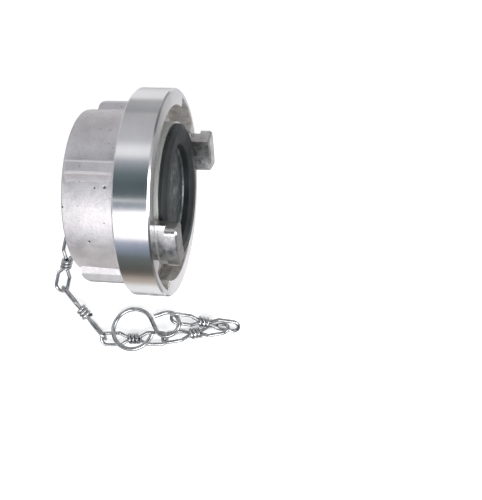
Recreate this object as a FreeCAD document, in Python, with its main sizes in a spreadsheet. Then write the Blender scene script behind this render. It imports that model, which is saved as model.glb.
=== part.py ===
"""A Storz blank cap, size B (lug spacing 89 mm), with a knotted chain and an S-hook.

The cap's axis is X. The origin is the centre of the flange's front face, the claws point to +X,
and the cap lies on its flange with the chain beside it. Angles round the axis are counted from +Y
towards +Z. All sizes are in millimetres and degrees.
"""
import FreeCAD
import Part
import Sketcher
import math
import os
import re

from FreeCAD import Placement, Rotation, Vector

DIMENSIONS = {
    # claws and flange ring, from the axis outwards
    "lug_spacing": 89.0, "claw_stem_wall": 7.5, "claw_lip_depth": 5.0, "mouth_gap": 1.3,
    "ledge_width": 5.1, "flange_wall": 4.6, "window_clearance": 2.4,
    # claws and flange ring, along the axis
    "ledge_thickness": 6.0, "ledge_play": 0.4, "claw_lip_thickness": 7.0, "undercut_height": 8.5,
    "flange_floor": 6.9, "web_thickness": 7.5, "flange_chamfer": 1.0,
    # claws and windows, round the axis
    "claw_position": -55.5, "claw_width_angle": 27.5, "window_width_angle": 32.0, "window_gap_angle": 1.5,
    "claw_chamfer": 1.0, "claw_corner_radius": 3.5,
    # cup and spanner lugs
    "cup_radius": 49.1, "cup_draft": 0.9, "cup_length": 33.8, "cup_wall": 3.6,
    "web_recess_radius": 29.5, "web_recess_depth": 2.0,
    "lug_height": 7.4, "lug_top_width": 6.8, "lug_root_width": 15.0, "lug_length": 31.0,
    "lug_position": -13.0, "lug_rounding": 4.0, "cast_rounding": 3.0, "rim_rounding": 1.0,
    # pivot bolt, washer and slide ring
    "bolt_radius": 8.0, "bolt_shoulder": 4.0, "bolt_head_height": 10.0, "bolt_head_chamfer": 0.5,
    "bolt_engagement": 7.5, "bolt_end_gap": 0.3, "bolt_running_clearance": 0.05,
    "washer_width": 7.0, "washer_thickness": 2.5, "washer_clearance": 0.4,
    "slide_ring_width": 12.0, "slide_ring_thickness": 1.6, "slide_ring_clearance": 0.3, "slide_play": 0.2,
    # cover plate and seal
    "plate_gap": 1.3, "plate_rim": 1.0, "plate_skirt_gap": 0.6, "plate_boss_wall": 6.0,
    "plate_wall": 3.6, "plate_face_depth": 2.4, "plate_lip_depth": 1.6, "plate_lip_width": 1.0,
    "plate_lip_bevel": 0.8, "seal_width": 12.6, "seal_channel_depth": 5.0, "seal_clearance": 0.1,
    "seal_height": 4.2, "seal_shoulder": 2.0, "seal_inner_bevel": 3.8, "seal_outer_bevel": 3.6,
    "seal_rounding": 0.9,
    # chain and hook
    "link_wire": 2.4, "link_half_length": 23.0, "link_loop_radius": 4.2, "link_waist": 1.25,
    "link_neck": 4.2, "link_flare": 9.5, "knot_radius": 2.7, "knot_turns": 3.0, "knot_pitch": 2.55,
    "eye_clearance": 1.2, "eye_lift": 1.6, "eye_play": 4.2, "eye_knot_offset": 11.6, "eye_loop_length": 17.7,
    "eye_turn": 228.0, "eye_bend_angle": 20.0, "eye_roll": 0.0,
    "hook_wire": 3.0, "hook_big_radius": 14.0, "hook_small_radius": 8.3, "hook_eye_distance": 23.5,
    "hook_eye_rise": 3.8, "hook_free_end": 7.0, "hook_mouth_angle": 110.0, "hook_end_angle": 345.0,
}
# Sizes that follow from others: each is the sum of the named sizes times their factors.
DERIVED = {
    "claw_inner_radius": {"lug_spacing": 0.5},
    "claw_stem_radius": {"claw_inner_radius": 1, "claw_stem_wall": 1},
    "claw_lip_radius": {"claw_stem_radius": 1, "claw_lip_depth": 1},
    "mouth_radius": {"claw_stem_radius": 1, "mouth_gap": 1},
    "undercut_radius": {"mouth_radius": 1, "ledge_width": 1},
    "window_radius": {"claw_lip_radius": 1, "window_clearance": 1},
    "flange_radius": {"undercut_radius": 1, "flange_wall": 1},
    "claw_lip_station": {"ledge_thickness": 1, "ledge_play": 1},
    "claw_height": {"claw_lip_station": 1, "claw_lip_thickness": 1},
    "recess_depth": {"ledge_thickness": 1, "undercut_height": 1},
    "flange_depth": {"recess_depth": 1, "flange_floor": 1},
    "web_back": {"recess_depth": 1, "web_thickness": 1},
    "cup_depth": {"flange_depth": 1, "cup_length": 1},
    "cup_root_radius": {"cup_radius": 1, "cup_draft": 1},
    "cup_inner_radius": {"cup_radius": 1, "cup_wall": -1},
    "cup_floor_radius": {"cup_inner_radius": 1, "cup_draft": -1},
    "lug_radius": {"cup_radius": 1, "lug_height": 1},
    "bolt_bore": {"bolt_radius": 1, "bolt_running_clearance": 1},
    "head_radius": {"bolt_radius": 1, "bolt_shoulder": 1},
    "washer_radius": {"bolt_radius": 1, "washer_width": 1},
    "washer_bore": {"bolt_radius": 1, "washer_clearance": 1},
    "slide_ring_radius": {"bolt_radius": 1, "slide_ring_width": 1},
    "slide_ring_bore": {"bolt_radius": 1, "slide_ring_clearance": 1},
    "eye_room": {"link_wire": 1, "eye_play": 1},
    "washer_station": {"web_recess_depth": 1, "web_back": -1},
    "eye_station": {"washer_station": 1, "washer_thickness": -1, "link_wire": -0.5, "eye_lift": -1},
    "head_station": {"washer_station": 1, "washer_thickness": -1, "eye_room": -1},
    "slide_ring_station": {"slide_ring_thickness": 1, "recess_depth": -1},
    "plate_station": {"slide_ring_station": 1, "slide_play": 1},
    "bolt_tip": {"plate_station": 1, "bolt_engagement": 1, "bolt_end_gap": -1},
    "plate_radius": {"claw_inner_radius": 1, "plate_gap": -1},
    "plate_boss_radius": {"bolt_radius": 1, "plate_boss_wall": 1},
    "channel_radius": {"plate_radius": 1, "plate_rim": -1},
    "seal_outer_radius": {"channel_radius": 1, "seal_clearance": -1},
    "seal_inner_radius": {"channel_radius": 1, "seal_width": -1},
    "channel_inner_radius": {"seal_inner_radius": 1, "seal_clearance": -1},
    "eye_ring_radius": {"bolt_radius": 1, "eye_clearance": 1, "link_wire": 0.5},
}
# Where each link's knot lies, and its yaw, pitch and roll.
LINKS = {
    "chain_link_1": ((-56.5, -27.2, -31.2), (-166, 15, 49)),
    "chain_link_2": ((-84.5, -50.3, -45.0), (-110, 25, -1)),
    "chain_link_3": ((-74.8, -84.6, -56.0), (-49, 5, 78)),
    "chain_link_4": ((-39.5, -100.5, -58.1), (4, 2, 11)),
    "chain_link_5": ((2.9, -94.2, -58.5), (13, 0, -50)),
    "chain_link_6": ((9.6, -86.1, -56.9), (-185, -4, -35)),
}
# The centre of the hook's big eye, and the hook's yaw, pitch and roll.
HOOK_PLACE, HOOK_ANGLES = (-39.3, -93.3, -54.2), (3, -2, -23)


# Edges this near to a place lie on it.
TOUCH = 0.01


def size(name):
    """A size's value: its own, or the sum that DERIVED gives."""
    if name in DIMENSIONS:
        return DIMENSIONS[name]
    return sum(factor * size(part) for part, factor in DERIVED[name].items())


def term(name):
    """A size as an expression of the sheet's cells."""
    if name in DIMENSIONS:
        return "dims." + name
    return "(" + " + ".join("%g * %s" % (factor, term(part)) for part, factor in DERIVED[name].items()) + ")"


def cell(text):
    """Turn each @name in an expression into the sheet's cell or sum of that name."""
    return re.sub(r"@(\w+)", lambda found: term(found.group(1)), text)


def make_sheet(document):
    """Put the driving dimensions in a spreadsheet, one named cell each."""
    cells = document.addObject("Spreadsheet::Sheet", "dims")
    for row, (name, value) in enumerate(DIMENSIONS.items(), start=1):
        cells.set("A%d" % row, name)
        cells.set("B%d" % row, str(value))
        cells.setAlias("B%d" % row, name)
    document.recompute()
    return cells


def plane(body, role):
    """One of the body's own origin planes or axes."""
    return next(item for item in body.Origin.OriginFeatures if item.Role == role)


def outline(body, name, role, corners):
    """A closed sketch of straight lines whose corners are bound to the sheet."""
    sketch = body.newObject("Sketcher::SketchObject", name)
    sketch.AttachmentSupport = (plane(body, role), [""])
    sketch.MapMode = "FlatFace"
    count = len(corners)
    far = Vector(2 * size("flange_radius"), 2 * size("flange_radius"), 0)
    places = [on_circle(far, size("flange_radius"), 360 * i / count) for i in range(count)]
    for i in range(count):
        sketch.addGeometry(Part.LineSegment(places[i], places[(i + 1) % count]), False)
    for i in range(count):
        sketch.addConstraint(Sketcher.Constraint("Coincident", i, 2, (i + 1) % count, 1))
    for i, (across, along) in enumerate(corners):
        for kind, value, text in (("DistanceX", places[i].x, across), ("DistanceY", places[i].y, along)):
            index = sketch.addConstraint(Sketcher.Constraint(kind, -1, 1, i, 1, value))
            sketch.setExpression("Constraints[%d]" % index, cell(text))
    return sketch


def revolve(body, name, sketch, cut=False, angle=None):
    """Turn a sketch about the cap's axis, all the way round or centred on its plane."""
    feature = body.newObject("PartDesign::Groove" if cut else "PartDesign::Revolution", name)
    feature.Profile = sketch
    feature.ReferenceAxis = (sketch, ["H_Axis"])
    if angle is None:
        feature.Angle = 360
    else:
        feature.Midplane = True
        feature.setExpression("Angle", cell(angle))
    sketch.Visibility = False
    return feature


def repeat_round(body, name, feature, count):
    """Repeat a feature round the cap's axis."""
    pattern = body.newObject("PartDesign::PolarPattern", name)
    pattern.Originals = [feature]
    pattern.Axis = (plane(body, "X_Axis"), [""])
    pattern.Angle = 360
    pattern.Occurrences = count
    body.Tip = pattern
    return pattern


def dress(document, body, name, kind, wanted, amount):
    """Round or chamfer the edges of the body so far for which wanted(edge) is true."""
    base = body.Tip
    edges = ["Edge%d" % (i + 1) for i, edge in enumerate(base.Shape.Edges) if wanted(edge)]
    feature = body.newObject("PartDesign::" + kind, name)
    feature.Base = (base, edges)
    feature.setExpression("Radius" if kind == "Fillet" else "Size", cell(amount))
    body.Tip = feature
    document.recompute()


def place_sketch(sketch, angle, shift="0", axis=Vector(1, 0, 0)):
    """Turn a sketch about the axis, given in the sketch's plane, and shift it off the plane."""
    sketch.AttachmentOffset = Placement(Vector(), Rotation(axis, 1))
    sketch.setExpression("AttachmentOffset.Rotation.Angle", cell(angle))
    sketch.setExpression("AttachmentOffset.Base.z", cell(shift))


def radius_of(point):
    """A point's distance from the cap's axis."""
    return math.hypot(point.y, point.z)


def is_ring(edge, station, radius):
    """True for a full circle about the cap's axis at that station and radius."""
    box = edge.BoundBox
    flat = abs(box.XMin - station) < TOUCH and abs(box.XMax - station) < TOUCH
    return flat and abs(edge.Length - 2 * math.pi * radius) < TOUCH


def build_cap_body(document):
    """The casting: cup, web, flange ring with its undercut, two claws and four spanner lugs."""
    body = document.addObject("PartDesign::Body", "cap_body")
    section = outline(body, "cap_section", "XY_Plane", [
        ("-@recess_depth", "@bolt_bore"),
        ("-@recess_depth", "@undercut_radius"),
        ("-@ledge_thickness", "@undercut_radius"),
        ("-@ledge_thickness", "@mouth_radius"),
        ("0", "@mouth_radius"),
        ("0", "@flange_radius"),
        ("-@flange_depth", "@flange_radius"),
        ("-@flange_depth", "@cup_root_radius"),
        ("-@cup_depth", "@cup_radius"),
        ("-@cup_depth", "@cup_inner_radius"),
        ("-@web_back", "@cup_floor_radius"),
        ("-@web_back", "@web_recess_radius"),
        ("@washer_station", "@web_recess_radius"),
        ("@washer_station", "@bolt_bore"),
    ])
    revolve(body, "cap_turned", section)

    root, overlap = "@cup_inner_radius + @cup_wall / 2", "@flange_floor / 2"
    lug_sketch = outline(body, "lug_section", "YZ_Plane", [
        (root, "-@lug_root_width / 2"),
        ("@lug_radius", "-@lug_top_width / 2"),
        ("@lug_radius", "@lug_top_width / 2"),
        (root, "@lug_root_width / 2"),
    ])
    place_sketch(lug_sketch, "@lug_position", overlap + " - @flange_depth", Vector(0, 0, 1))
    lug = body.newObject("PartDesign::Pad", "lug")
    lug.Profile = lug_sketch
    lug.Reversed = True
    lug.setExpression("Length", cell("@lug_length + " + overlap))
    repeat_round(body, "lugs", lug, 4)

    claw_foot = "-@recess_depth - @web_thickness / 4"
    claw_sketch = outline(body, "claw_section", "XY_Plane", [
        (claw_foot, "@claw_inner_radius"),
        ("@claw_height", "@claw_inner_radius"),
        ("@claw_height", "@claw_lip_radius"),
        ("@claw_lip_station", "@claw_lip_radius"),
        ("@claw_lip_station", "@claw_stem_radius"),
        (claw_foot, "@claw_stem_radius"),
    ])
    place_sketch(claw_sketch, "@claw_position")
    claw = revolve(body, "claw", claw_sketch, angle="@claw_width_angle")
    repeat_round(body, "claws", claw, 2)

    inside = "@mouth_radius - @mouth_gap / 2"
    window_sketch = outline(body, "window_section", "XY_Plane", [
        ("-@recess_depth", inside),
        ("@ledge_play", inside),
        ("@ledge_play", "@window_radius"),
        ("-@recess_depth", "@window_radius"),
    ])
    place_sketch(window_sketch, "@claw_position + @claw_width_angle / 2 + @window_gap_angle"
                                " + @window_width_angle / 2")
    window = revolve(body, "window", window_sketch, cut=True, angle="@window_width_angle")
    repeat_round(body, "windows", window, 2)
    document.recompute()

    def claw_corner(edge):
        box = edge.BoundBox
        on_lip = box.XMin > size("claw_lip_station") - TOUCH and box.XMax < size("claw_height") + TOUCH
        upright = box.XLength > size("claw_lip_thickness") - TOUCH
        return on_lip and upright and radius_of(edge.CenterOfMass) > size("claw_lip_radius") - TOUCH

    def claw_head(edge):
        return edge.BoundBox.XMin > size("claw_height") - TOUCH

    def lug_end(edge):
        return all(abs(vertex.Point.x + size("flange_depth") + size("lug_length")) < TOUCH
                   and radius_of(vertex.Point) > size("lug_radius") - TOUCH for vertex in edge.Vertexes)

    def cup_bottom(edge):
        return is_ring(edge, -size("web_back"), size("cup_floor_radius"))

    def cup_rim(edge):
        depth = -size("cup_depth")
        return is_ring(edge, depth, size("cup_radius")) or is_ring(edge, depth, size("cup_inner_radius"))

    def flange_edge(edge):
        return any(is_ring(edge, station, size("flange_radius")) for station in (0, -size("flange_depth")))

    dress(document, body, "claw_corners", "Fillet", claw_corner, "@claw_corner_radius")
    dress(document, body, "claw_heads", "Chamfer", claw_head, "@claw_chamfer")
    dress(document, body, "lug_ends", "Fillet", lug_end, "@lug_rounding")
    dress(document, body, "cup_bottom", "Fillet", cup_bottom, "@cast_rounding")
    dress(document, body, "rim_edges", "Fillet", cup_rim, "@rim_rounding")
    dress(document, body, "flange_edges", "Chamfer", flange_edge, "@flange_chamfer")
    return body


def build_cover_plate(document):
    """The plate that carries the seal: a rim, the seal's channel, a skirt and a threaded boss."""
    body = document.addObject("PartDesign::Body", "cover_plate")
    revolve(body, "plate_turned", outline(body, "plate_section", "XY_Plane", [
        ("0", "@plate_radius"),
        ("0", "@channel_radius"),
        ("-@seal_channel_depth", "@channel_radius"),
        ("-@seal_channel_depth", "@channel_inner_radius"),
        ("-@plate_lip_depth", "@channel_inner_radius"),
        ("-@plate_lip_depth", "@channel_inner_radius - @plate_lip_width"),
        ("-@plate_face_depth", "@channel_inner_radius - @plate_lip_width - @plate_lip_bevel"),
        ("-@plate_face_depth", "0"),
        ("@plate_station + @bolt_engagement", "0"),
        ("@plate_station + @bolt_engagement", "@bolt_radius"),
        ("@plate_station", "@bolt_radius"),
        ("@plate_station", "@plate_boss_radius"),
        ("-@seal_channel_depth - @plate_wall", "@plate_boss_radius"),
        ("-@seal_channel_depth - @plate_wall", "@plate_radius - @plate_wall"),
        ("-@recess_depth + @plate_skirt_gap", "@plate_radius - @plate_wall"),
        ("-@recess_depth + @plate_skirt_gap", "@plate_radius"),
    ]))
    return body


def build_seal(document):
    """The rubber pressure seal, with a flat land between two bevelled shoulders."""
    body = document.addObject("PartDesign::Body", "seal_ring")
    revolve(body, "seal_turned", outline(body, "seal_section", "XY_Plane", [
        ("-@seal_channel_depth", "@seal_inner_radius"),
        ("@seal_shoulder", "@seal_inner_radius"),
        ("@seal_height", "@seal_inner_radius + @seal_inner_bevel"),
        ("@seal_height", "@seal_outer_radius - @seal_outer_bevel"),
        ("@seal_shoulder", "@seal_outer_radius"),
        ("-@seal_channel_depth", "@seal_outer_radius"),
    ]))
    document.recompute()

    def crown(edge):
        box = edge.BoundBox
        return box.XMin > size("seal_shoulder") - TOUCH and box.XLength < TOUCH

    dress(document, body, "seal_crown", "Fillet", crown, "@seal_rounding")
    return body


def build_ring(document, name, station, radius, bore, thickness):
    """A flat ring about the cap's axis whose front face is at that station."""
    outer = document.addObject("Part::Cylinder", name + "_disc")
    inner = document.addObject("Part::Cylinder", name + "_bore")
    ring = document.addObject("Part::Cut", name)
    for solid, radius_text in ((outer, radius), (inner, bore)):
        solid.setExpression("Radius", cell(radius_text))
        solid.setExpression("Height", cell(thickness))
        solid.Placement = Placement(Vector(), Rotation(Vector(0, 1, 0), -90))
        solid.setExpression("Placement.Base.x", cell(station))
    ring.Base = outer
    ring.Tool = inner
    return ring


def build_bolt(document):
    """The hexagon bolt that holds the plate and lets the cap turn about it."""
    hexagon = document.addObject("Part::Prism", "bolt_hexagon")
    hexagon.Polygon = 6
    hexagon.setExpression("Circumradius", cell("@head_radius / cos(30)"))
    hexagon.setExpression("Height", cell("@bolt_head_height"))
    turned = document.addObject("Part::Cone", "bolt_head_turning")
    turned.setExpression("Radius1", cell("@head_radius - @bolt_head_chamfer + @bolt_head_height / tan(30)"))
    turned.setExpression("Radius2", cell("@head_radius - @bolt_head_chamfer"))
    turned.setExpression("Height", cell("@bolt_head_height"))
    head = document.addObject("Part::MultiCommon", "bolt_head")
    head.Shapes = [hexagon, turned]
    shank = document.addObject("Part::Cylinder", "bolt_shank")
    shank.setExpression("Radius", cell("@bolt_radius"))
    shank.setExpression("Height", cell("@bolt_tip - @head_station"))
    for solid, turn in ((hexagon, -90), (turned, -90), (shank, 90)):
        solid.Placement = Placement(Vector(), Rotation(Vector(0, 1, 0), turn))
        solid.setExpression("Placement.Base.x", cell("@head_station"))
    bolt = document.addObject("Part::MultiFuse", "pivot_bolt")
    bolt.Shapes = [head, shank]
    return bolt


def loop_path(half_length):
    """Half of a link: the neck leaves the knot at the origin, flares to the loop and comes back."""
    waist, radius = size("link_waist"), size("link_loop_radius")
    end = half_length - radius
    corners = [Vector(0, waist, 0), Vector(size("link_neck"), waist, 0),
               Vector(size("link_flare"), radius, 0), Vector(end, radius, 0)]
    edges = [Part.LineSegment(a, b).toShape() for a, b in zip(corners, corners[1:])]
    edges.append(Part.Arc(corners[-1], Vector(half_length, 0, 0), Vector(end, -radius, 0)).toShape())
    back = [Vector(corner.x, -corner.y, 0) for corner in reversed(corners)]
    edges += [Part.LineSegment(a, b).toShape() for a, b in zip(back, back[1:])]
    return Part.Wire(edges)


def pipe(path, wire_radius, start, direction):
    """A round wire along a path that leaves start in that direction."""
    circle = Part.Wire(Part.makeCircle(wire_radius, start, direction))
    return path.makePipeShell([circle], True, False, 2)


def link_loop(half_length):
    """The wire of half a link, from its knot along +X."""
    return pipe(loop_path(half_length), size("link_wire") / 2, Vector(0, size("link_waist"), 0), Vector(1, 0, 0))


def knot():
    """The wire's ends wound round the waist of a link, about X."""
    length = size("knot_pitch") * size("knot_turns")
    turns = Part.makeHelix(size("knot_pitch"), length, size("knot_radius"))
    start = Vector(size("knot_radius"), 0, 0)
    circle = Part.Wire(Part.makeCircle(size("link_wire") / 2, start, Vector(0, 1, 0)))
    coil = turns.makePipeShell([circle], True, True)
    coil.translate(Vector(0, 0, -length / 2))
    coil.rotate(Vector(), Vector(0, 1, 0), 90)
    return coil


def add_piece(document, name, solid, placement):
    """Put a finished solid in the document under its name, at its place."""
    piece = document.addObject("Part::Feature", name)
    piece.Shape = solid
    piece.Placement = placement
    return piece


def build_link(document, name, place, angles):
    """A knotted link: two long loops of one wire, wound together at the waist."""
    front, back = link_loop(size("link_half_length")), link_loop(size("link_half_length"))
    back.rotate(Vector(), Vector(0, 0, 1), 180)
    return add_piece(document, name, knot().fuse([front, back]), Placement(Vector(*place), Rotation(*angles)))


def build_eye(document):
    """The chain's first link: a round eye about the bolt, a bent neck with its knot, and a long loop."""
    ring = Part.makeTorus(size("eye_ring_radius"), size("link_wire") / 2, Vector(), Vector(1, 0, 0))
    tail = [knot(), link_loop(size("eye_loop_length"))]
    for side in (-1, 1):
        neck = Part.makeCylinder(size("link_wire") / 2, size("eye_knot_offset"), Vector(), Vector(1, 0, 0))
        neck.translate(Vector(-size("eye_knot_offset"), 0, side * size("link_waist")))
        tail.append(neck)
    for piece in tail:
        piece.translate(Vector(size("eye_knot_offset"), 0, 0))
        piece.rotate(Vector(), Vector(1, 0, 0), size("eye_roll"))
        piece.rotate(Vector(), Vector(0, 0, 1), 90 + size("eye_bend_angle"))
        piece.translate(Vector(0, size("eye_ring_radius"), 0))
    return add_piece(document, "chain_eye", ring.fuse(tail),
                     Placement(Vector(size("eye_station"), 0, 0), Rotation(Vector(1, 0, 0), size("eye_turn"))))


def on_circle(centre, radius, angle):
    """The point at that angle on a circle in the hook's plane."""
    return centre + Vector(radius * math.cos(math.radians(angle)), radius * math.sin(math.radians(angle)), 0)


def arc(centre, radius, start, end):
    """The arc of a circle in the hook's plane from one angle to another."""
    return Part.Arc(*[on_circle(centre, radius, angle) for angle in (start, (start + end) / 2, end)]).toShape()


def build_hook(document):
    """The S-hook: a straight free end, a small eye, a stem and a big eye that is nearly closed."""
    big, small = Vector(), Vector(size("hook_eye_distance"), size("hook_eye_rise"), 0)
    big_radius, small_radius = size("hook_big_radius"), size("hook_small_radius")
    lean = math.degrees(math.atan2(small.y, small.x))
    stem = math.degrees(math.acos((big_radius + small_radius) / small.Length))
    mouth_angle, leave_angle, meet_angle = size("hook_mouth_angle"), lean + stem - 180, lean + stem
    mouth = on_circle(small, small_radius, mouth_angle)
    inwards = on_circle(Vector(), 1, mouth_angle - 90)
    free = mouth - inwards * size("hook_free_end")
    edges = [Part.LineSegment(free, mouth).toShape(),
             arc(small, small_radius, mouth_angle, leave_angle),
             Part.LineSegment(on_circle(small, small_radius, leave_angle),
                              on_circle(big, big_radius, meet_angle)).toShape(),
             arc(big, big_radius, meet_angle, size("hook_end_angle"))]
    solid = pipe(Part.Wire(edges), size("hook_wire") / 2, free, inwards)
    return add_piece(document, "chain_hook", solid, Placement(Vector(*HOOK_PLACE), Rotation(*HOOK_ANGLES)))


def check(document, parts):
    """Stop if any object failed or any part isn't one valid solid."""
    for item in document.Objects:
        if "Invalid" in item.State or "Error" in item.State:
            raise RuntimeError("%s is in state %s" % (item.Name, item.State))
    for part in parts:
        shape = part.Shape
        if shape.isNull() or not shape.isValid() or len(shape.Solids) != 1:
            raise RuntimeError("%s has a bad shape with %d solids" % (part.Label, len(shape.Solids)))


document = FreeCAD.newDocument("storz_blank_cap")
make_sheet(document)
parts = [
    build_cap_body(document), build_cover_plate(document), build_seal(document), build_bolt(document),
    build_ring(document, "slide_ring", "@slide_ring_station", "@slide_ring_radius", "@slide_ring_bore",
               "@slide_ring_thickness"),
    build_ring(document, "washer", "@washer_station", "@washer_radius", "@washer_bore", "@washer_thickness"),
    build_eye(document),
]
for name, (place, angles) in LINKS.items():
    parts.append(build_link(document, name, place, angles))
parts.append(build_hook(document))
document.recompute()
check(document, parts)
os.makedirs("parts", exist_ok=True)
for part in parts:
    part.Shape.exportStep("parts/%s.step" % part.Label)
    print(part.Label, round(part.Shape.Volume / 1000, 2), "cm3")
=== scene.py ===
"""The looks of a Storz blank cap: cast and turned aluminium, black rubber seal, zinc-plated chain.

The cap stands on its flange ring with its axis along X, and the camera looks down on it. The scene
adds no pieces: each CAD node gets a material, and the cap's changes by its place on the casting.
"""

import math

import bpy
from mathutils import Matrix, Vector


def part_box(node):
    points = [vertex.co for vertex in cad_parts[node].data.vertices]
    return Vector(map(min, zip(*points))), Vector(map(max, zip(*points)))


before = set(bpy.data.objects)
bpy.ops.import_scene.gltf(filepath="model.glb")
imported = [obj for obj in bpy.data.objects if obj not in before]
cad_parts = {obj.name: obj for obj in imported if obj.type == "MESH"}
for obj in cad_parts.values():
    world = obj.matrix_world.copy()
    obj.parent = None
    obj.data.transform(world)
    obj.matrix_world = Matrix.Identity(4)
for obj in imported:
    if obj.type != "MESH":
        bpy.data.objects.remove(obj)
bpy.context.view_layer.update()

# Camera: the photograph's viewpoint, in metres, for a frame 500 pixels high
CAMERA_PLACE = Vector((0.12635, 0.0, 0.53490))
CAMERA_RIGHT = Vector((0.98650558, 0.03898689, -0.15901811))
CAMERA_UP = Vector((-0.04799803, 0.99742835, -0.05322474))
CAMERA_CLIP = (0.01, 20.0)
FOCAL_PIXELS = 900.0
FRAME_HEIGHT = 500.0
SENSOR_WIDTH = 36.0

# Where the cap's finishes change, in metres: radii from the axis, and stations along it
RING_RADIUS, RING_BACK = 0.0621, -0.0207
FACE_RADIUS, FACE_STATION = 0.0526, -0.0004
RECESS_RADIUS, RECESS_FLOOR = 0.0600, -0.0150
CLAW_STATION = 0.0003
PLATE_RIM, PLATE_FACE = 0.0419, -0.0002
STEP, LUG_STEP, WIDE_STEP = 0.0002, 0.0003, 0.0006      # half-widths of the soft steps between finishes

# Spanner lugs: the angle of one of them, the land's worn edge lines that also carry a painted highlight, and
# where the painted shade on the lowest one begins
LUG_ANGLE = math.radians(77)
LUG_FRONT = -0.0217
LUG_LAND = (0.0026, 0.0043)
LUG_EDGE_RADIUS = 0.0552
LOW_LUG = 0.0502

# Casting pits on the cup: place and radius
PITS = [((-0.0293, 0.0016, 0.0493), 0.0009), ((-0.0351, 0.0011, 0.0493), 0.0006),
        ((-0.0405, -0.0296, 0.0394), 0.0007), ((-0.0542, -0.0103, 0.0482), 0.0006)]
PIT_EDGE = 0.4                                          # the soft edge, as a share of the radius

# Colours over a noise's value, as (position, colour) stops; one number is a grey
SHADES = {
    "cast": [(0.30, (0.74, 0.72, 0.725)), (0.50, (0.86, 0.84, 0.845)), (0.72, (0.95, 0.92, 0.93))],
    "specks": [(0.24, (0.30, 0.27, 0.28)), (0.31, 1)],
    "grain": [(0.30, 0.86), (0.62, 1)],
    "turned": [(0.3, (0.80, 0.80, 0.81)), (0.7, 0.90)],
    "stain": [(0.28, (0.34, 0.32, 0.30)), (0.52, (0.62, 0.60, 0.57)), (0.74, (0.84, 0.82, 0.79))],
    "claw": [(0.3, (0.42, 0.41, 0.40)), (0.5, (0.60, 0.59, 0.58)), (0.72, (0.80, 0.79, 0.78))],
    "plate": [(0.30, (0.06, 0.075, 0.075)), (0.50, (0.14, 0.165, 0.165)), (0.72, (0.34, 0.37, 0.37))],
    "rubber": [(0.3, (0.014, 0.018, 0.018)), (0.7, (0.028, 0.034, 0.033))],
    "plastic": [(0.3, (0.70, 0.69, 0.63)), (0.7, (0.78, 0.77, 0.71))],
}
# Worn lug edges, brightened both as wear and as a painted highlight along the lands
WORN_EDGE_AND_HIGHLIGHT = (1.0, 0.98, 0.99)
# Painted shade on the lowest spanner lug's flank
LOW_LUG_PAINTED_SHADE = (0.46, 0.455, 0.46)
# Painted shade inside the casting pits, which are only bumps in the surface
PIT_PAINTED_SHADE = (0.20, 0.17, 0.18)
PLATE_RIM_TONE = (0.82, 0.85, 0.83)

# Roughness over a noise's value in the same way, and on surfaces where it is even
ROUGHNESS = {
    "cast": [(0.3, 0.46), (0.7, 0.60)],
    "turned": [(0.3, 0.10), (0.7, 0.19)],
    "claw": [(0.3, 0.22), (0.7, 0.42)],
    "plate": [(0.3, 0.42), (0.7, 0.62)],
    "rubber": [(0.3, 0.40), (0.7, 0.55)],
}
RECESS_ROUGHNESS = 0.55
PLATE_RIM_ROUGHNESS = 0.28
PLATE_SIDE_ROUGHNESS = 0.62
STEEL_ROUGHNESS_SPAN = 0.14
RECESS_DULLNESS = 0.55                                  # how much less metallic the stained recess is
CLAW_SMOOTHNESS = 0.6                                   # how much of the cast bump the claws have lost

# Steels: roughness, darkest tone, brightest tone
STEELS = {
    "washer": ("washer_steel", 0.30, 0.50, 0.62),
    "pivot_bolt": ("bolt_steel", 0.34, 0.62, 0.78),
    "chain_": ("chain_steel", 0.10, 0.26, 0.76),
}

# The floor: its own colour, its glow to the camera and in reflections, and its shade in reflections
# by distance along Y in metres
FLOOR_SIZE = 3.0
FLOOR_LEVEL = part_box("cap_body")[0].z
FLOOR_COLOUR = 0.85
FLOOR_ROUGHNESS = 0.9
CAMERA_GLOW = 0.62
MIRROR_GLOW = 0.10
FLOOR_SHADES = [
    (-0.90, (0.14, 0.13, 0.11)), (-0.55, (0.15, 0.13, 0.11)), (-0.25, (0.44, 0.38, 0.33)),
    (-0.18, (0.77, 0.76, 0.755)), (0.20, (0.79, 0.775, 0.775)), (0.25, (0.42, 0.42, 0.42)),
    (1.0, (0.44, 0.44, 0.46)),
]
# In front of the cap the reflected floor falls off: from and to these X in metres, between these levels
FLOOR_FRONT = (0.0205, 0.0285, 1.0, 0.40)

# The studio's light round the X axis, in degrees from straight up towards +Y
STUDIO_BANDS = [
    (-180, (0.40, 0.38, 0.37)), (-94, (0.10, 0.10, 0.09)), (-76, (0.12, 0.14, 0.14)),
    (-64, (0.24, 0.28, 0.36)), (-55, (0.34, 0.38, 0.48)), (-51, (1.22, 1.17, 1.20)),
    (-22, (1.22, 1.17, 1.20)), (-19, (0.28, 0.32, 0.38)), (-11, (0.18, 0.22, 0.26)),
    (-9.6, (1.50, 1.50, 1.50)), (-8.2, (0.09, 0.12, 0.13)), (8, (0.08, 0.11, 0.12)),
    (20, (0.14, 0.18, 0.19)), (32, (0.36, 0.38, 0.42)), (40, (0.90, 0.90, 0.92)),
    (47, (0.85, 0.85, 0.88)), (55, (0.52, 0.52, 0.55)), (88, (0.44, 0.44, 0.45)),
    (180, (0.50, 0.50, 0.50)),
]

# Lamps: name, place in metres, size in metres, power in watts
LAMPS = [("key", (0.1, -0.50, 0.80), (0.7, 0.35), 4.2), ("front", (0.75, 0.0, 0.35), (0.4, 0.5), 3)]


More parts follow.
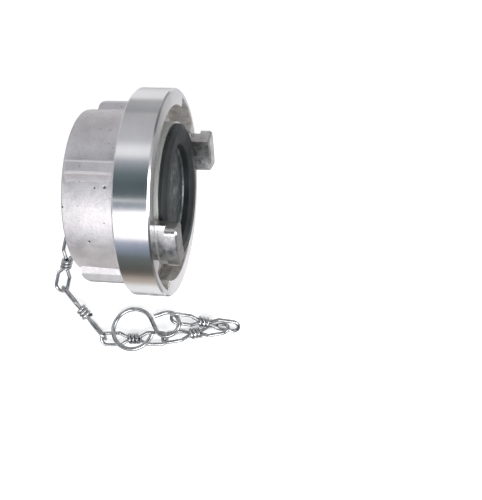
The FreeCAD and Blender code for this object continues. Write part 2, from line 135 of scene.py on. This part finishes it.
def make_camera():
    """A camera at the photograph's viewing angle."""
    data = bpy.data.cameras.new("camera")
    data.sensor_fit = "AUTO"
    data.sensor_width = SENSOR_WIDTH
    data.lens = FOCAL_PIXELS / FRAME_HEIGHT * SENSOR_WIDTH
    data.clip_start, data.clip_end = CAMERA_CLIP
    camera = bpy.data.objects.new("camera", data)
    right = CAMERA_RIGHT.normalized()
    back = right.cross(CAMERA_UP).normalized()
    up = back.cross(right)
    turn = Matrix((right, up, back)).transposed()
    camera.matrix_world = Matrix.Translation(CAMERA_PLACE) @ turn.to_4x4()
    bpy.context.scene.collection.objects.link(camera)
    bpy.context.scene.camera = camera


def rgba(colour):
    """A colour with its alpha, from a grey level or three numbers."""
    return (colour,) * 3 + (1,) if isinstance(colour, (int, float)) else tuple(colour) + (1,)


class Nodes:
    """The node tree of a material or world, with short calls that add and join nodes."""

    def __init__(self, owner, shader="Principled BSDF"):
        owner.use_nodes = True
        self.owner = owner
        self.tree = owner.node_tree
        self.shader = self.tree.nodes[shader]
        self.coordinates = self.add("ShaderNodeTexCoord").outputs

    def add(self, kind, **settings):
        """Add a node and set its properties."""
        node = self.tree.nodes.new(kind)
        for name, value in settings.items():
            setattr(node, name, value)
        return node

    def feed(self, socket, value):
        """Join an output to the socket, or set the socket to a number or colour."""
        if isinstance(value, bpy.types.NodeSocket):
            self.tree.links.new(value, socket)
        else:
            socket.default_value = rgba(value) if socket.type == "RGBA" else value

    def shade(self, **values):
        """Feed the shader's own sockets: base_color=... feeds Base Color."""
        for name, value in values.items():
            self.feed(self.shader.inputs[name.replace("_", " ").title()], value)

    def split(self, coordinates="Object"):
        """The three parts of the place on the surface, as sockets named X, Y and Z."""
        parts = self.add("ShaderNodeSeparateXYZ")
        self.feed(parts.inputs["Vector"], self.coordinates[coordinates])
        return parts.outputs

    def noise(self, scale, detail=3.0, roughness=0.55, stretch=(1, 1, 1)):
        """Noise over the object's own coordinates, in features per metre."""
        mapping = self.add("ShaderNodeMapping")
        mapping.inputs["Scale"].default_value = stretch
        self.feed(mapping.inputs["Vector"], self.coordinates["Object"])
        texture = self.add("ShaderNodeTexNoise")
        texture.inputs["Scale"].default_value = scale
        texture.inputs["Detail"].default_value = detail
        texture.inputs["Roughness"].default_value = roughness
        self.feed(texture.inputs["Vector"], mapping.outputs["Vector"])
        return texture.outputs["Fac"]

    def ramp(self, value, stops):
        """A colour ramp with (position, colour) stops; a colour may be one number for grey."""
        node = self.add("ShaderNodeValToRGB")
        elements = node.color_ramp.elements
        while len(elements) < len(stops):
            elements.new(0.5)
        for element, (position, colour) in zip(elements, stops):
            element.position = position
            element.color = rgba(colour)
        self.feed(node.inputs["Fac"], value)
        return node.outputs["Color"]

    def math(self, operation, *values):
        """A math node over one or two sockets or numbers."""
        node = self.add("ShaderNodeMath", operation=operation)
        for socket, value in zip(node.inputs, values):
            self.feed(socket, value)
        return node.outputs["Value"]

    def mix(self, amount, first, second, kind="MIX"):
        """Mix two colours, given as sockets, greys or three numbers."""
        node = self.add("ShaderNodeMix", data_type="RGBA", blend_type=kind)
        factor, colours = node.inputs[0], node.inputs[6:8]
        self.feed(factor, amount)
        for socket, value in zip(colours, (first, second)):
            self.feed(socket, value)
        return node.outputs[2]

    def span(self, value, start, end, low=0.0, high=1.0):
        """A soft step from low to high while the value goes from start to end."""
        node = self.add("ShaderNodeMapRange", interpolation_type="SMOOTHSTEP")
        for name, number in (("From Min", start), ("From Max", end), ("To Min", low), ("To Max", high)):
            node.inputs[name].default_value = number
        self.feed(node.inputs["Value"], value)
        return node.outputs["Result"]

    def above(self, value, edge, step=STEP):
        """1 where the value is above the edge, 0 below, with a narrow soft step."""
        return self.span(value, edge - step, edge + step)

    def below(self, value, edge, step=STEP):
        """1 where the value is below the edge."""
        return self.rest(self.above(value, edge, step))

    def rest(self, value):
        """What is left of 1."""
        return self.math("SUBTRACT", 1.0, value)

    def both(self, first, *others):
        """1 where all of the masks are 1."""
        for other in others:
            first = self.math("MULTIPLY", first, other)
        return first

    def either(self, first, *others):
        """1 where any of the masks is 1."""
        for other in others:
            first = self.math("MAXIMUM", first, other)
        return first

    def bump(self, *layers):
        """Stack bump layers, each (height, strength, distance in metres)."""
        normal = None
        for height, strength, distance in layers:
            node = self.add("ShaderNodeBump")
            node.inputs["Strength"].default_value = strength
            node.inputs["Distance"].default_value = distance
            self.feed(node.inputs["Height"], height)
            if normal is not None:
                self.feed(node.inputs["Normal"], normal)
            normal = node.outputs["Normal"]
        self.shade(normal=normal)

    def radius(self):
        """Distance from the cap's axis, and the place along it, as two sockets."""
        parts = self.split()
        squares = [self.math("POWER", parts[name], 2) for name in "YZ"]
        return self.math("SQRT", self.math("ADD", *squares)), parts["X"]

    def rays(self, *kinds):
        """1 for any of the named kinds of ray."""
        path = self.add("ShaderNodeLightPath").outputs
        return self.either(*[path["Is %s Ray" % kind] for kind in kinds])


def lug_marks(n, radius, along):
    """Masks of the worn land edge lines of the spanner lugs, which also carry a painted highlight, and of
    the painted shade on the lowest lug.
    """
    parts = n.split()
    y, z = parts["Y"], parts["Z"]
    cosine, sine = math.cos(LUG_ANGLE), math.sin(LUG_ANGLE)
    first = n.math("ADD", n.math("MULTIPLY", y, cosine), n.math("MULTIPLY", z, sine))
    second = n.math("SUBTRACT", n.math("MULTIPLY", z, cosine), n.math("MULTIPLY", y, sine))
    across = n.math("MINIMUM", n.math("ABSOLUTE", first), n.math("ABSOLUTE", second))
    behind = n.below(along, LUG_FRONT)
    inner, outer = LUG_LAND
    # The lands' worn edge lines, brightened as wear and as a painted highlight
    worn_edges_and_highlight = n.both(n.above(across, inner, LUG_STEP), n.below(across, outer, LUG_STEP),
                   n.above(radius, LUG_EDGE_RADIUS, LUG_STEP), behind)
    # The lowest lug, whose flank gets painted shade
    low = n.both(n.below(y, -LOW_LUG, WIDE_STEP), n.above(radius, LOW_LUG, WIDE_STEP), behind)
    return worn_edges_and_highlight, low


def pit_mask(n):
    """1 inside the cup's small casting pits."""
    pits = []
    for place, size in PITS:
        distance = n.add("ShaderNodeVectorMath", operation="DISTANCE")
        n.feed(distance.inputs[0], n.coordinates["Object"])
        distance.inputs[1].default_value = place
        pits.append(n.below(distance.outputs["Value"], size, size * PIT_EDGE))
    return n.either(*pits)


def cap_aluminium():
    """One casting with its finishes by place: blasted cast cup, turned ring and face, stained recess."""
    n = Nodes(bpy.data.materials.new("cap_aluminium"))
    n.shade(metallic=1.0, anisotropic=0.35)
    radius, along = n.radius()
    ring = n.both(n.above(radius, RING_RADIUS), n.above(along, RING_BACK))
    face = n.both(n.above(radius, FACE_RADIUS), n.above(along, FACE_STATION))
    turned = n.either(ring, face)
    claw = n.above(along, CLAW_STATION, WIDE_STEP)
    recess = n.both(n.below(radius, RECESS_RADIUS), n.below(along, FACE_STATION),
                    n.above(along, RECESS_FLOOR))
    worn_edges_and_highlight, low = lug_marks(n, radius, along)
    pits = pit_mask(n)

    cast_tone = n.ramp(n.noise(55, 5), SHADES["cast"])
    for scale, layer in ((520, "specks"), (1500, "grain")):
        cast_tone = n.mix(1.0, cast_tone, n.ramp(n.noise(scale, 2), SHADES[layer]), "MULTIPLY")
    tone = n.mix(turned, cast_tone, n.ramp(n.noise(35, 4), SHADES["turned"]))
    tone = n.mix(recess, tone, n.ramp(n.noise(140, 6, 0.7), SHADES["stain"]))
    tone = n.mix(claw, tone, n.ramp(n.noise(120, 5), SHADES["claw"]))
    # Painted highlight on the lugs' worn edge lines, painted shade on the lowest lug and in the casting pits
    for mask, colour in ((worn_edges_and_highlight, WORN_EDGE_AND_HIGHLIGHT), (low, LOW_LUG_PAINTED_SHADE), (pits, PIT_PAINTED_SHADE)):
        tone = n.mix(mask, tone, colour)

    turning = n.noise(60, 3, stretch=(90, 1, 1))
    rough = n.mix(turned, n.ramp(n.noise(160, 4), ROUGHNESS["cast"]), n.ramp(turning, ROUGHNESS["turned"]))
    rough = n.mix(recess, rough, RECESS_ROUGHNESS)
    rough = n.mix(claw, rough, n.ramp(n.noise(200, 4), ROUGHNESS["claw"]))
    tangent = n.add("ShaderNodeTangent", direction_type="RADIAL", axis="X")
    n.shade(base_color=tone, roughness=rough, tangent=tangent.outputs["Tangent"],
            metallic=n.rest(n.math("MULTIPLY", recess, RECESS_DULLNESS)))

    coarse = n.both(n.rest(turned), n.rest(n.math("MULTIPLY", claw, CLAW_SMOOTHNESS)))
    n.bump((n.both(n.noise(1300, 3), coarse), 0.35, 0.0003), (n.both(n.noise(330, 3), coarse), 0.30, 0.0005),
           (n.both(turning, turned), 0.05, 0.0002), (n.both(n.noise(90, 3), recess), 0.6, 0.0012),
           (n.rest(pits), 0.8, 0.0005))
    return n.owner


def plate_aluminium():
    """The cover plate: mottled grey cast face inside a bright turned rim with a rough side."""
    n = Nodes(bpy.data.materials.new("plate_aluminium"))
    radius, along = n.radius()
    rim = n.above(radius, PLATE_RIM)
    side = n.both(rim, n.below(along, PLATE_FACE))
    rough = n.mix(rim, n.ramp(n.noise(260, 4), ROUGHNESS["plate"]), PLATE_RIM_ROUGHNESS)
    tone = n.mix(rim, n.ramp(n.noise(150, 6, 0.65), SHADES["plate"]), PLATE_RIM_TONE)
    n.shade(metallic=1.0, base_color=tone, roughness=n.mix(side, rough, PLATE_SIDE_ROUGHNESS))
    n.bump((n.noise(620, 4), 0.5, 0.0005), (n.noise(140, 3), 0.35, 0.0008))
    return n.owner


def seal_rubber():
    """Black moulded rubber with a grey sheen."""
    n = Nodes(bpy.data.materials.new("seal_rubber"))
    n.shade(base_color=n.ramp(n.noise(80, 3), SHADES["rubber"]),
            roughness=n.ramp(n.noise(220, 3), ROUGHNESS["rubber"]))
    n.shader.inputs["Specular IOR Level"].default_value = 0.35
    n.bump((n.noise(900, 2), 0.2, 0.0002))
    return n.owner


def slide_plastic():
    """Natural white plastic, hidden under the plate."""
    n = Nodes(bpy.data.materials.new("slide_plastic"))
    n.shade(base_color=n.ramp(n.noise(60, 2), SHADES["plastic"]), roughness=0.5)
    return n.owner


def zinc_steel(name, roughness, dark, bright):
    """Zinc-plated steel whose tone runs from a dark, slightly green grey to a bright one."""
    n = Nodes(bpy.data.materials.new(name))
    tones = [(0.3, (dark, dark + 0.02, dark + 0.02)), (0.72, bright)]
    roughnesses = [(0.3, roughness), (0.7, roughness + STEEL_ROUGHNESS_SPAN)]
    n.shade(metallic=1.0, base_color=n.ramp(n.noise(160, 4), tones),
            roughness=n.ramp(n.noise(300, 3), roughnesses))
    n.bump((n.noise(900, 2), 0.15, 0.0003))
    return n.owner


def dress(start, material):
    """Give every node whose name begins in this way one material."""
    for name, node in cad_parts.items():
        if name.startswith(start):
            node.data.materials.clear()
            node.data.materials.append(material)


def make_floor():
    """A plain pale floor: white to the camera, and paler near the object than far from it in reflections."""
    bpy.ops.mesh.primitive_plane_add(size=FLOOR_SIZE, location=(0, 0, FLOOR_LEVEL))
    floor = bpy.context.object
    floor.name = "floor"
    n = Nodes(bpy.data.materials.new("floor"))
    parts = n.split()
    along = n.add("ShaderNodeMapRange")
    along.inputs["From Min"].default_value = -FLOOR_SIZE / 2
    along.inputs["From Max"].default_value = FLOOR_SIZE / 2
    n.feed(along.inputs["Value"], parts["Y"])
    stops = [(0.5 + y / FLOOR_SIZE, colour) for y, colour in FLOOR_SHADES]
    shade = n.ramp(along.outputs["Result"], stops)
    shade = n.mix(1.0, shade, n.span(parts["X"], *FLOOR_FRONT), "MULTIPLY")
    mirrored = n.rays("Glossy", "Transmission")
    colour = n.mix(mirrored, FLOOR_COLOUR, shade)
    glow = n.math("ADD", n.math("MULTIPLY", n.rays("Camera"), CAMERA_GLOW),
                  n.math("MULTIPLY", mirrored, MIRROR_GLOW))
    n.shade(base_color=colour, emission_color=colour, emission_strength=glow, roughness=FLOOR_ROUGHNESS)
    n.shader.inputs["Specular IOR Level"].default_value = 0.0
    floor.data.materials.append(n.owner)


def make_world():
    """A studio of long soft boxes and dark gaps along X, and plain white to the camera."""
    world = bpy.data.worlds.new("world")
    n = Nodes(world, "Background")
    parts = n.split("Generated")
    angle = n.add("ShaderNodeMapRange")
    angle.inputs["From Min"].default_value = -math.pi
    angle.inputs["From Max"].default_value = math.pi
    n.feed(angle.inputs["Value"], n.math("ARCTAN2", parts["Y"], parts["Z"]))
    stops = [(0.5 + degrees / 360, colour) for degrees, colour in STUDIO_BANDS]
    bands = n.ramp(angle.outputs["Result"], stops)
    n.shade(color=n.mix(n.rays("Camera"), bands, 1))
    bpy.context.scene.world = world


def add_lamp(name, place, size, power):
    """A soft rectangular lamp that faces the cap."""
    data = bpy.data.lights.new(name, "AREA")
    data.shape = "RECTANGLE"
    data.size, data.size_y = size
    data.energy = power
    lamp = bpy.data.objects.new(name, data)
    lamp.location = place
    lamp.rotation_euler = (-Vector(place)).to_track_quat("-Z", "Y").to_euler()
    bpy.context.scene.collection.objects.link(lamp)


make_camera()
make_world()
make_floor()
for lamp in LAMPS:
    add_lamp(*lamp)

dress("cap_body", cap_aluminium())
dress("cover_plate", plate_aluminium())
dress("seal_ring", seal_rubber())
dress("slide_ring", slide_plastic())
for start, steel in STEELS.items():
    dress(start, zinc_steel(*steel))

bpy.context.scene.view_settings.view_transform = "Standard"
